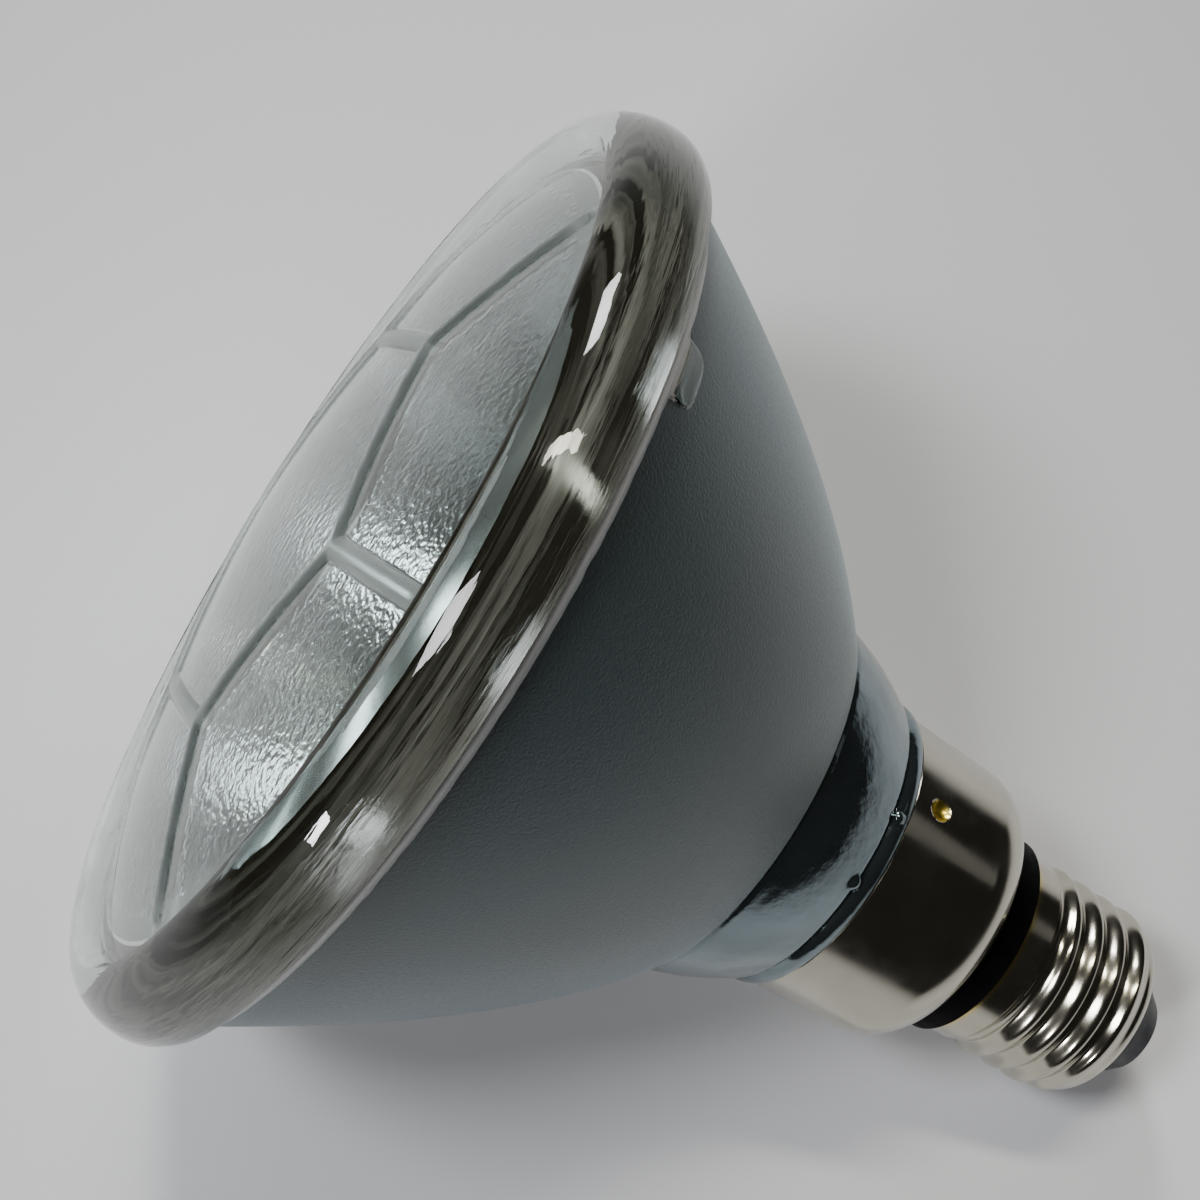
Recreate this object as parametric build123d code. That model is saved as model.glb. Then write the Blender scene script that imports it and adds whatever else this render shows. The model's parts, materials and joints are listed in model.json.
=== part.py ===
from build123d import *
import os
from math import asin, atan2, cos, degrees, hypot, radians, sin, sqrt, tan

# A reflector spot lamp with a skirted Edison screw cap, in millimetres.
# Every piece is built on the lamp's own axis: Z runs from the centre contact (z = 0) to the lens's crown.
# X points at a corner of the lens's hexagon. One location at the end lays the lamp at rest on its rim and
# on the rounded end of its screw shell.

# Lens: a dome in a rolled rim, with a flat back that is bonded to the reflector
overall_length = 132.1
rim_radius = 61.0
dome_height = 13.8
dome_radius = 169.0
dome_edge_inset = 7.4
lens_thickness = 3.2
lens_inner_inset = 10.5
roll_front = 7.8
roll_width = 6.2
roll_start_angle = 80.0
roll_back = 5.3
seam_depth = 3.4

# Ribs pressed into the lens: a hexagon, and a spoke from each of its corners
hexagon_radius = 28.0
spoke_end_inset = 9.5
rib_width = 3.0
rib_height = 0.6
rib_bite = 0.15
rib_sink = 0.8
rib_count = 6

# Adhesive between lens and reflector
bond_gap = 0.5
bond_inner_inset = 8.6
bead_depth = 2.1
bead_inset = 2.0
bead_swell = 0.5
drip_turn = 36.5
drip_width = 8.4
drip_length = 3.4
drip_thickness = 0.7
drip_rounding = 2.0

# Reflector: an outer and an inner paraboloid, a neck that ends in a bead, and a well for the capsule
bowl_edge_inset = 3.93
mouth_inset = 8.0
neck_radius = 25.55
neck_length = 12.3
neck_swell = 0.5
neck_groove_depth = 0.7
neck_groove_width = 1.0
neck_flare = 1.0
neck_bead_width = 2.0
neck_bead_step = 0.6
well_radius = 14.0
well_depth = 11.8
well_drop = 2.0
floor_thickness = 5.0
stub_reach = 2.0
stub_bore_radius = 12.0

# Small runs of glass on the neck's end: turn, radius and rise above the bead
neck_runs = ((-5.0, 1.2, 0.9), (22.0, 0.8, -0.6))

# Skirt of the cap, staked to the glass
skirt_top = 52.1
skirt_length = 13.6
skirt_radius = 19.3
skirt_taper = 0.5
skirt_wall = 0.45
shoulder_radius = 6.5
shoulder_turn = 60.0
stake_count = 3
stake_turn = 35.0
stake_below_edge = 3.9
stake_ball_radius = 1.7
stake_depth = 0.9
cement_width = 0.85
cement_rise = 0.2
cement_length = 7.5

# Ring that keeps skirt and screw shell apart
ring_radius = 13.7
ring_flange_width = 1.5
ring_flange_height = 2.0
ring_bore_radius = 9.5
ring_spigot = 2.0

# Screw shell
shell_top = 28.3
shell_wall = 0.5
collar_radius = 12.95
collar_length = 3.9
collar_step = 0.9
thread_crest_radius = 13.2
thread_root_radius = 12.1
thread_pitch = 3.629
thread_turns = 3.7
thread_base_width = 3.0
thread_sink = 0.15
thread_start = 9.9
shell_end = 6.6
shell_lip = 2.5
shell_end_rounding = 2.0

# Tip: a glass button and the eyelet that it carries
insulator_height = 2.1
insulator_tip = 0.7
insulator_tip_radius = 5.3
insulator_bore_radius = 2.0
contact_radius = 4.3
contact_rounding = 0.5
contact_stem = 5.5
contact_bore_radius = 1.1
solder_height = 1.6

# Capsule, measured from the floor of the well
wire_rise = 5.7
pin_bare = 1.0
pin_embedded = 2.5
pin_spacing = 5.4
pin_radius = 0.4
foil_length = 4.0
foil_width = 2.0
foil_thickness = 0.3
pinch_height = 8.5
pinch_width = 11.0
pinch_thickness = 3.4
capsule_radius = 6.5
capsule_wall = 1.0
capsule_length = 18.5
capsule_nub_radius = 1.2
capsule_nub_length = 2.0
filament_radius = 0.9
filament_rise = 3.0
filament_length = 9.0
tail_radius = 0.25
tail_bend = 0.8
tail_reach = 1.6

# Wiring
ferrule_spacing = 10.0
ferrule_radius = 1.6
ferrule_flange_radius = 2.7
ferrule_flange = 0.7
ferrule_hole_depth = 2.2
wire_radius = 0.5
wire_bend = 1.2
lead_radius = 0.4
lead_bend = 4.0
lead_reach = 8.0
shell_lead_end = 14.0
shell_solder_radius = 1.3

# Clearances
slip = 0.1
wire_slip = 0.05
edge_gap = 0.3

# How far the lamp has rolled about its own axis where it lies
rest_turn = -15.2

# Radii and levels that follow from the sizes above
dome_edge_radius = rim_radius - dome_edge_inset
lens_inner_radius = rim_radius - lens_inner_inset
spoke_end_radius = rim_radius - spoke_end_inset
bond_inner_radius = rim_radius - bond_inner_inset
bead_radius = rim_radius - bead_inset
bowl_edge_radius = rim_radius - bowl_edge_inset
mouth_radius = rim_radius - mouth_inset
neck_end_radius = skirt_radius + neck_flare
skirt_bore = skirt_radius - skirt_wall
stub_radius = skirt_bore - cement_width
shell_bore = thread_root_radius - shell_wall
shell_mouth_radius = thread_root_radius - shell_lip
contact_stem_radius = insulator_bore_radius - slip
dome_centre = overall_length - dome_radius
rim_level = overall_length - dome_height
seam_level = rim_level - seam_depth
lip_level = seam_level - bond_gap
bead_level = seam_level - bead_depth
neck_bead_bottom = skirt_top + edge_gap
neck_bead_top = neck_bead_bottom + neck_bead_width
neck_end = neck_bead_top + neck_bead_step
neck_top = neck_end + neck_length
well_floor = neck_bead_bottom - well_drop
well_top = well_floor + well_depth
floor_back = well_floor - floor_thickness
stub_end = floor_back - stub_reach
shoulder_start = skirt_top - skirt_length
shoulder_edge = skirt_radius - skirt_taper
stake_level = skirt_top - stake_below_edge
collar_bottom = shell_top - collar_length
root_top = collar_bottom - collar_step
insulator_seat = shell_end + shell_wall + slip
pin_bottom = well_floor + wire_rise
pinch_bottom = pin_bottom + pin_bare
foil_bottom = pinch_bottom + pin_embedded
foil_top = foil_bottom + foil_length
capsule_bottom = pinch_bottom + pinch_height
capsule_top = capsule_bottom + capsule_length
filament_bottom = capsule_bottom + filament_rise
filament_top = filament_bottom + filament_length
bowl_span = (bowl_edge_radius**2 - neck_radius**2) / (lip_level - neck_top)


def turned(*edges):
    """One solid turned about the lamp's axis, from a closed outline in radius and height."""
    return revolve(Plane.XZ * make_face(edges), Axis.Z)


def plug(radius, bottom, top, x=0.0):
    """A plain round bar along Z, between two levels."""
    return Pos(x, 0, bottom) * Cylinder(radius, top - bottom, align=(Align.CENTER, Align.CENTER, Align.MIN))


def bar(width, depth, height, x, bottom):
    """A plain square bar along Z."""
    return Pos(x, 0, bottom) * Box(width, depth, height, align=(Align.CENTER, Align.CENTER, Align.MIN))


def bent_wire(radius, bend, *corners):
    """A round wire along straight runs in the XZ plane that are joined by arcs."""
    path = FilletPolyline(*[(x, 0, z) for x, z in corners], radius=bend)
    return sweep(Plane(path @ 0, z_dir=path % 0) * Circle(radius), path)


def cap_arc(crown, radius, r):
    """The profile of a ball's cap, from its crown on the axis out to a radius."""
    centre = crown - radius
    middle = r / 2
    return ThreePointArc(
        (0, crown),
        (middle, centre + sqrt(radius**2 - middle**2)),
        (r, centre + sqrt(radius**2 - r**2)),
    )


def bowl_arc(r_from, z_from, r_to, z_to):
    """The profile of the paraboloid between two points. A Bezier curve of three points is a true parabola."""
    span = (r_from**2 - r_to**2) / (z_from - z_to)
    middle = ((r_from + r_to) / 2, z_from - r_from * (r_from - r_to) / span)
    return Bezier((r_from, z_from), middle, (r_to, z_to))


def bowl_radius(z):
    """The reflector's outer radius at a height."""
    return sqrt(neck_radius**2 + bowl_span * (z - neck_top))


def shoulder_level(arc_radius, r):
    """The height of the skirt's sloping end at a radius, for its outer or its inner skin."""
    turn = radians(shoulder_turn)
    arc_end = shoulder_edge - shoulder_radius + arc_radius * cos(turn)
    return shoulder_start - arc_radius * sin(turn) - (arc_end - r) / tan(turn)


def stake_places():
    """Where the punch's ball stands for each stake."""
    out = Pos(skirt_radius - stake_depth + stake_ball_radius, 0, stake_level)
    return [Rot(0, 0, stake_turn + k * 360 / stake_count) * out for k in range(stake_count)]


def bent_rib(ball_radius, angle_from, angle_to):
    """A rib of bowed section on top of a ball round the origin, bent about Y between two angles from Z."""
    half = rib_width / 2
    edge = ball_radius - rib_bite
    root = ball_radius - rib_sink
    bow = ThreePointArc((-half, edge), (0, ball_radius + rib_height), (half, edge))
    sides = Polyline(bow @ 1, (half, root), (-half, root), bow @ 0)
    rib = revolve(Plane.YZ * make_face([bow, sides]), Axis.Y, angle_to - angle_from)
    return Rot(0, angle_from, 0) * rib


def make_ribs():
    """The hexagon's sides, and the spokes that run out from its corners."""
    half_turn = radians(180 / rib_count)
    side_offset = hexagon_radius * cos(half_turn)
    side_ball = sqrt(dome_radius**2 - side_offset**2)
    side_angle = degrees(asin(hexagon_radius * sin(half_turn) / side_ball))
    corner_angle = degrees(asin(hexagon_radius / dome_radius))
    spoke_angle = degrees(asin(spoke_end_radius / dome_radius))
    side = Pos(0, side_offset, dome_centre) * bent_rib(side_ball, -side_angle, side_angle)
    spoke = Pos(0, 0, dome_centre) * bent_rib(dome_radius, corner_angle, spoke_angle)
    return [Rot(0, 0, k * 360 / rib_count) * rib for k in range(rib_count) for rib in (side, spoke)]


def make_lens():
    """Pressed glass: a dome with raised ribs, in a rolled rim with a flat back."""
    nose_centre = (rim_radius - roll_width, rim_level)
    nose = EllipticalCenterArc(nose_centre, roll_width, roll_front, 0, arc_size=roll_start_angle)
    back_angle = -degrees(asin(seam_depth / roll_back))
    back = CenterArc((rim_radius - roll_back, rim_level), roll_back, 0, back_angle)
    dome = cap_arc(overall_length, dome_radius, dome_edge_radius)
    inside = cap_arc(overall_length - lens_thickness, dome_radius - lens_thickness, lens_inner_radius)
    body = turned(
        dome,
        Line(dome @ 1, nose @ 1),
        nose,
        back,
        Polyline(back @ 1, (bond_inner_radius, seam_level), inside @ 1),
        inside,
        Line(inside @ 0, dome @ 0),
    )
    for rib in make_ribs():
        body += rib
    return body


def make_reflector():
    """Pressed glass paraboloid with a neck, a well for the capsule and two holes for the ferrules."""
    groove_radius = neck_radius - neck_groove_depth
    bead_foot = neck_end_radius - neck_bead_step
    bead = ThreePointArc(
        (bead_foot, neck_bead_top),
        (neck_end_radius - neck_bead_step / 2, (neck_bead_top + neck_bead_bottom) / 2),
        (bead_foot, neck_bead_bottom),
    )
    neck_start = neck_top - neck_groove_width
    neck = ThreePointArc(
        (groove_radius, neck_start),
        ((groove_radius + neck_end_radius) / 2 + neck_swell, (neck_start + neck_end) / 2),
        (neck_end_radius, neck_end),
    )
    body = turned(
        bowl_arc(bowl_edge_radius, lip_level, neck_radius, neck_top),
        Polyline((neck_radius, neck_top), (groove_radius, neck_top - neck_groove_width / 2), neck @ 0),
        neck,
        Line(neck @ 1, bead @ 0),
        bead,
        Polyline(
            bead @ 1,
            (stub_radius, neck_bead_bottom),
            (stub_radius, stub_end),
            (stub_bore_radius, stub_end),
            (stub_bore_radius, floor_back),
            (0, floor_back),
            (0, well_floor),
            (well_radius, well_floor),
            (well_radius, well_top),
        ),
        bowl_arc(well_radius, well_top, mouth_radius, lip_level),
        Line((mouth_radius, lip_level), (bowl_edge_radius, lip_level)),
    )
    for side in (1, -1):
        body -= plug(ferrule_radius + wire_slip, floor_back, well_floor, side * ferrule_spacing / 2)
    for turn, radius, rise in neck_runs:
        body += Rot(0, 0, turn) * Pos(bead_foot, 0, neck_bead_top + rise) * Sphere(radius)
    groove_ball = stake_ball_radius + skirt_wall + slip
    groove = Torus(skirt_bore + stake_ball_radius - stake_depth, groove_ball)
    return body - Pos(0, 0, stake_level) * groove


def make_rim_seal():
    """The bead of adhesive in the seam, and one drip that ran down the outside of the reflector."""
    edge = bowl_radius(bead_level)
    middle = (seam_level + bead_level) / 2
    swell = ThreePointArc(
        (bead_radius, seam_level),
        ((bead_radius + edge) / 2 + bead_swell, middle),
        (edge, bead_level),
    )
    ring = turned(
        swell,
        bowl_arc(edge, bead_level, bowl_edge_radius, lip_level),
        Polyline(
            (bowl_edge_radius, lip_level),
            (bond_inner_radius, lip_level),
            (bond_inner_radius, seam_level),
            swell @ 0,
        ),
    )
    drip_end = bead_level - drip_length
    inner = bowl_arc(bowl_radius(middle), middle, bowl_radius(drip_end), drip_end)
    outer_top = (bowl_radius(middle) + drip_thickness, middle)
    outer_end = (bowl_radius(drip_end) + drip_thickness, drip_end)
    film = turned(inner, Polyline(inner @ 1, outer_end, outer_top, inner @ 0))
    tongue = extrude(RectangleRounded(middle - drip_end, drip_width, drip_rounding), drip_length, both=True)
    drip = film & Pos(edge, 0, (middle + drip_end) / 2) * Rot(0, 90, 0) * tongue
    return ring + Rot(0, 0, drip_turn) * drip


def make_skirt():
    """Drawn sheet metal: a slightly tapered tube with a round shoulder, staked to the glass by dimples."""
    centre = (shoulder_edge - shoulder_radius, shoulder_start)
    inner_radius = shoulder_radius - skirt_wall
    outer = CenterArc(centre, shoulder_radius, 0, -shoulder_turn)
    inner = CenterArc(centre, inner_radius, 0, -shoulder_turn)
    hole_radius = ring_radius + slip
    outer_corner = (hole_radius, shoulder_level(shoulder_radius, hole_radius))
    inner_corner = (hole_radius, shoulder_level(inner_radius, hole_radius))
    body = turned(
        outer,
        Polyline(outer @ 1, outer_corner, inner_corner, inner @ 1),
        inner,
        Polyline(inner @ 0, (skirt_bore, skirt_top), (skirt_radius, skirt_top), outer @ 0),
    )
    for place in stake_places():
        body += place * Sphere(stake_ball_radius + skirt_wall) & plug(skirt_radius, shoulder_start, skirt_top)
        body -= place * Sphere(stake_ball_radius)
    return body


def make_neck_cement(reflector, skirt):
    """The cement that fills the space between the glass stub and the skirt."""
    top = skirt_top + cement_rise
    filling = plug(skirt_bore, top - cement_length, top) - reflector - skirt
    filling -= plug(stub_radius - stake_depth, top - cement_length, top)
    for place in stake_places():
        filling -= place * Sphere(stake_ball_radius + skirt_wall)
    return filling


def make_insulating_ring():
    """The black ring that sits in the skirt's hole and carries the screw shell on its spigot."""
    inner_skin = shoulder_radius - skirt_wall
    flange_radius = ring_radius + ring_flange_width
    flange_edge = shoulder_level(inner_skin, flange_radius) + slip
    spigot_radius = collar_radius - shell_wall - slip
    shell_seat = shell_top + slip
    return turned(
        Polyline(
            (ring_bore_radius, shell_seat - ring_spigot),
            (spigot_radius, shell_seat - ring_spigot),
            (spigot_radius, shell_seat),
            (ring_radius, shell_seat),
            (ring_radius, shoulder_level(inner_skin, ring_radius) + slip),
            (flange_radius, flange_edge),
            (flange_radius, flange_edge + ring_flange_height),
            (ring_bore_radius, flange_edge + ring_flange_height),
            close=True,
        )
    )


def make_screw_shell():
    """Rolled sheet metal: a plain collar, a round Edison thread and an end turned in over the insulator."""
    collar_bore = collar_radius - shell_wall
    end_centre = (thread_root_radius - shell_end_rounding, shell_end + shell_end_rounding)
    outer = CenterArc(end_centre, shell_end_rounding, 0, -90)
    inner = CenterArc(end_centre, shell_end_rounding - shell_wall, 0, -90)
    lip_outer = (shell_mouth_radius, shell_end)
    lip_inner = (shell_mouth_radius, shell_end + shell_wall)
    body = turned(
        outer,
        Polyline(outer @ 1, lip_outer, lip_inner, inner @ 1),
        inner,
        Polyline(
            inner @ 0,
            (shell_bore, root_top),
            (collar_bore, collar_bottom),
            (collar_bore, shell_top),
            (collar_radius, shell_top),
            (collar_radius, collar_bottom),
            (thread_root_radius, root_top),
            outer @ 0,
        ),
    )
    path = Helix(thread_pitch, thread_pitch * thread_turns, thread_root_radius, center=(0, 0, thread_start))
    half = thread_base_width / 2
    crest = thread_crest_radius - thread_root_radius
    bow = ThreePointArc((-thread_sink, -half), (crest, 0), (-thread_sink, half))
    section = Plane(path @ 0, x_dir=(1, 0, 0), z_dir=path % 0) * make_face([bow, Line(bow @ 1, bow @ 0)])
    return body + sweep(section, path, is_frenet=True)


def make_base_insulator():
    """The dark glass button in the end of the shell, with a hole for the contact's stem."""
    waist_radius = shell_mouth_radius - slip
    seat_radius = thread_root_radius - shell_end_rounding
    top = insulator_seat + insulator_height
    top_radius = shell_bore - slip
    return turned(
        Polyline(
            (insulator_bore_radius, insulator_tip),
            (insulator_tip_radius, insulator_tip),
            (waist_radius, shell_end),
            (waist_radius, insulator_seat),
            (seat_radius, insulator_seat),
            (top_radius, insulator_seat + shell_end_rounding),
            (top_radius, top),
            (insulator_bore_radius, top),
            close=True,
        )
    )


def make_centre_contact():
    """The eyelet at the tip: a flat plate with a rounded edge and a tubular stem."""
    stem_top = insulator_tip + contact_stem
    edge = CenterArc((contact_radius - contact_rounding, contact_rounding), contact_rounding, 0, -90)
    return turned(
        edge,
        Polyline(
            edge @ 1,
            (contact_bore_radius, 0),
            (contact_bore_radius, stem_top),
            (contact_stem_radius, stem_top),
            (contact_stem_radius, insulator_tip),
            (contact_radius, insulator_tip),
            edge @ 0,
        ),
    )


def make_capsule(embedded):
    """Quartz tube with a domed top, the nub where it was sealed, and a flat pinch round pins and foils."""
    tube = plug(capsule_radius, capsule_bottom, capsule_top) + Pos(0, 0, capsule_top) * Sphere(capsule_radius)
    crown = capsule_top + capsule_radius
    nub = plug(capsule_nub_radius, crown - capsule_wall, crown + capsule_nub_length)
    pinch = bar(pinch_width, pinch_thickness, pinch_height, 0, pinch_bottom)
    room_radius = capsule_radius - capsule_wall
    room = plug(room_radius, capsule_bottom + capsule_wall, capsule_top)
    room += Pos(0, 0, capsule_top) * Sphere(room_radius)
    body = tube + nub + pinch - room
    for piece in embedded:
        body -= piece
    return body


def make_ferrule(x):
    """A flanged metal plug through the floor of the well, with a hole at each end for a wire."""
    top = well_floor + ferrule_flange
    bottom = floor_back - ferrule_flange
    body = plug(ferrule_radius, floor_back, well_floor, x)
    body += plug(ferrule_flange_radius, well_floor, top, x)
    body += plug(ferrule_flange_radius, bottom, floor_back, x)
    body -= plug(wire_radius + wire_slip, top - ferrule_hole_depth, top, x)
    return body - plug(lead_radius + wire_slip, bottom, bottom + ferrule_hole_depth, x)


def make_support_wire(pin_x, ferrule_x):
    """The stiff wire from a ferrule to a pin of the capsule."""
    return bent_wire(
        wire_radius,
        wire_bend,
        (ferrule_x, well_floor + ferrule_flange - ferrule_hole_depth),
        (ferrule_x, well_floor + ferrule_flange + wire_bend),
        (pin_x, pin_bottom - wire_bend),
        (pin_x, pin_bottom),
    )


def make_lamp():
    """All pieces by name, on the lamp's own axis."""
    pin_x = pin_spacing / 2
    ferrule_x = ferrule_spacing / 2
    lead_start = floor_back - ferrule_flange + ferrule_hole_depth
    shell_lead_x = shell_bore - lead_radius - slip
    pieces = {}
    pieces["lens"] = make_lens()
    pieces["reflector"] = make_reflector()
    pieces["rim_seal"] = make_rim_seal()
    pieces["skirt"] = make_skirt()
    pieces["neck_cement"] = make_neck_cement(pieces["reflector"], pieces["skirt"])
    pieces["insulating_ring"] = make_insulating_ring()
    pieces["screw_shell"] = make_screw_shell()
    pieces["base_insulator"] = make_base_insulator()
    pieces["centre_contact"] = make_centre_contact()
    pieces["contact_solder"] = plug(contact_bore_radius, 0, solder_height)
    for name, side in (("a", 1), ("b", -1)):
        pieces["capsule_pin_" + name] = plug(pin_radius, pin_bottom, foil_bottom, side * pin_x)
        pieces["foil_" + name] = bar(foil_width, foil_thickness, foil_length, side * pin_x, foil_bottom)
        pieces["ferrule_" + name] = make_ferrule(side * ferrule_x)
        pieces["support_wire_" + name] = make_support_wire(side * pin_x, side * ferrule_x)
    pieces["filament"] = plug(filament_radius, filament_bottom, filament_top)
    over = filament_top + tail_reach
    pieces["filament_tail_a"] = bent_wire(
        tail_radius, tail_bend, (pin_x, foil_top), (pin_x, over), (0, over), (0, filament_top)
    )
    under = filament_bottom - tail_reach
    pieces["filament_tail_b"] = bent_wire(
        tail_radius,
        tail_bend,
        (-pin_x, foil_top),
        (-pin_x, under - tail_bend),
        (0, under),
        (0, filament_bottom),
    )
    embedded = [pieces[stem + name] for stem in ("capsule_pin_", "foil_", "filament_tail_") for name in "ab"]
    pieces["capsule"] = make_capsule(embedded)
    pieces["contact_lead"] = bent_wire(
        lead_radius,
        lead_bend,
        (ferrule_x, lead_start),
        (ferrule_x, floor_back - ferrule_flange - lead_reach),
        (0, insulator_seat + lead_reach),
        (0, solder_height),
    )
    pieces["shell_lead"] = bent_wire(
        lead_radius,
        lead_bend,
        (-ferrule_x, lead_start),
        (-ferrule_x, shell_top - ring_spigot - slip),
        (-shell_lead_x, root_top - lead_bend),
        (-shell_lead_x, shell_lead_end),
    )
    drop = Pos(-shell_lead_x, 0, shell_lead_end) * Sphere(shell_solder_radius)
    pieces["shell_solder"] = (drop & plug(shell_bore, shell_end, shell_top)) - pieces["shell_lead"]
    return pieces


def resting_tilt():
    """The slope of the axis when the rim's back roll and the shell's rounded end both touch the floor."""
    across = rim_radius - roll_back - (thread_root_radius - shell_end_rounding)
    along = rim_level - (shell_end + shell_end_rounding)
    return degrees(atan2(across, along) + asin((roll_back - shell_end_rounding) / hypot(across, along)))


lamp = make_lamp()
tilt = resting_tilt()
lying = Rot(0, tilt - 90, 0) * Rot(0, 0, rest_turn)
box = Compound([lying * piece for piece in lamp.values()]).bounding_box()
rest = Pos(-box.center().X, -box.center().Y, -box.min.Z) * lying
os.makedirs("parts", exist_ok=True)
for name, piece in lamp.items():
    export_step(rest * piece, "parts/" + name + ".step")
print("tilt", round(tilt, 2), "box", box.size)
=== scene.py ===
# %% [markdown]
# # A reflector spot lamp
# The lamp is a sealed beam: a thick pressed glass bowl with a mirror inside, a domed glass lens glued over
# its mouth, and a metal cap with a screw thread. It lies on its side on a pale table, seen almost from above.
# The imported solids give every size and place. This file gives the fine surface that the eye reads as glass
# and metal.

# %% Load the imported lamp
import json
import math

import bmesh
import bpy
import numpy as np
from mathutils import Matrix, Vector


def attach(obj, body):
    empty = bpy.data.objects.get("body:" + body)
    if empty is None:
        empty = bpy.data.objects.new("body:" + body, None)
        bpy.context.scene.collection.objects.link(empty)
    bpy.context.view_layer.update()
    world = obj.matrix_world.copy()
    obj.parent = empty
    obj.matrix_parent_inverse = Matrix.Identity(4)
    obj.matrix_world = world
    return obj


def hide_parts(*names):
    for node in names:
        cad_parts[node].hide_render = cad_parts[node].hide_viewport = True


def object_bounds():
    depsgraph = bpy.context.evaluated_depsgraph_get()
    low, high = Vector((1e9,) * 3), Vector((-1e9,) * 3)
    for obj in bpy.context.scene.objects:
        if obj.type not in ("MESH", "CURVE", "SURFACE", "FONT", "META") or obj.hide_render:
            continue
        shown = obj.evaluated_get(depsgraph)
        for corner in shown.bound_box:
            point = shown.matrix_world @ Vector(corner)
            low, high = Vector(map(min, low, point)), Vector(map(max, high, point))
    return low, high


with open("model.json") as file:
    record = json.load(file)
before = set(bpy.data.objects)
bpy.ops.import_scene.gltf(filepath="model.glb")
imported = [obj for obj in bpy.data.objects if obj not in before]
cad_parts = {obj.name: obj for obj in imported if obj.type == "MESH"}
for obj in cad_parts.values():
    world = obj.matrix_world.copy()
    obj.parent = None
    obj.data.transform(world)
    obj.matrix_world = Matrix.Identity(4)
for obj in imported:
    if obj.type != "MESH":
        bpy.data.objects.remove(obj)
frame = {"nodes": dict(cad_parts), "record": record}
cad_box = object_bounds()
print("CAD box", [list(corner) for corner in cad_box])

# %% [markdown]
# ## The lamp's own axis
# A round thing is easiest to build upright, on its own axis, and to lay down at the end. The record says
# where the screw base is and which way it points, and the contact's mount lies a little off the axis, so
# together they give three directions. One matrix then takes a place in lamp millimetres to a place in the
# frame's metres.

# %% Find the lamp's own axis
MM = 0.001
mounts = {mount["name"]: mount for mount in frame["record"]["mounts"]}
on_axis = Vector(mounts["screw_base"]["pos_m"])
lamp_z = -Vector(mounts["screw_base"]["axis"]).normalized()
land = Vector(mounts["contact_face"]["pos_m"])
tip = on_axis + lamp_z * (land - on_axis).dot(lamp_z)
lamp_x = (land - tip).normalized()
lamp_y = lamp_z.cross(lamp_x)
lamp_turn = Matrix((lamp_x, lamp_y, lamp_z)).transposed()
lamp = Matrix.Translation(tip) @ lamp_turn.to_4x4() @ Matrix.Scale(MM, 4)
print("the lamp's axis slopes by", round(math.degrees(math.asin(lamp_z.z)), 2), "degrees")


def reach(node):
    """Smallest and largest radius, and lowest and highest level, of a CAD node in lamp millimetres."""
    corners = np.array([tuple(v.co) + (1.0,) for v in frame["nodes"][node].data.vertices])
    local = corners @ np.array(lamp.inverted()).T
    radius = np.hypot(local[:, 0], local[:, 1])
    return radius.min(), radius.max(), local[:, 2].min(), local[:, 2].max()


# %% [markdown]
# ## Camera
# The photograph was taken from above and a little to the front, with a lens of about 70 mm. The camera comes
# before anything else, because every later choice is judged through it. It could be aimed at the middle of
# the lamp, but in the photograph the lamp isn't in the middle of the lens's own circle of view. So the camera
# is placed by where it sees the centre of the rim, and its frame is shifted, which keeps the perspective.

# %% Set the camera
camera_azimuth = math.radians(26.28)
camera_elevation = math.radians(74.95)
focal_length = 72
film_width = 36
frame_shift = (0.0524, 0.0873)
rim_place = Vector((-0.0186, 0.0155, -0.2808))
camera_right = Vector((math.cos(camera_azimuth), math.sin(camera_azimuth), 0))
camera_back = Vector(
    (
        math.sin(camera_azimuth) * math.cos(camera_elevation),
        -math.cos(camera_azimuth) * math.cos(camera_elevation),
        math.sin(camera_elevation),
    )
)
camera_turn = Matrix((camera_right, camera_back.cross(camera_right), camera_back)).transposed()
lens_reach = reach("lens")
dome_height = 13.8
overall_length = lens_reach[3]
rim_level = overall_length - dome_height
rim_centre = lamp @ Vector((0, 0, rim_level))
camera_data = bpy.data.cameras.new("photo_camera")
camera_data.lens = focal_length
camera_data.sensor_width = film_width
camera_data.shift_x, camera_data.shift_y = frame_shift
camera = bpy.data.objects.new("photo_camera", camera_data)
camera.matrix_world = Matrix.Translation(rim_centre - camera_turn @ rim_place) @ camera_turn.to_4x4()
bpy.context.scene.collection.objects.link(camera)
bpy.context.scene.camera = camera
print("camera at", [round(c, 4) for c in camera.location])

# %% [markdown]
# ## Helpers for turned pieces
# Nearly every piece of the lamp was turned, spun or pressed in a round mould. A Screw modifier could spin an
# outline, but then no ring could bulge or dip. So a row is one circle of the surface: a radius and a level,
# each either one number or one number for every angle. Rows joined by faces make the skin. Rows on the axis
# fall into one point, and the doubles there are merged.


# %% Make a mesh from rows round the axis
def even_angles(count):
    return np.arange(count) * 2 * np.pi / count


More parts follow.
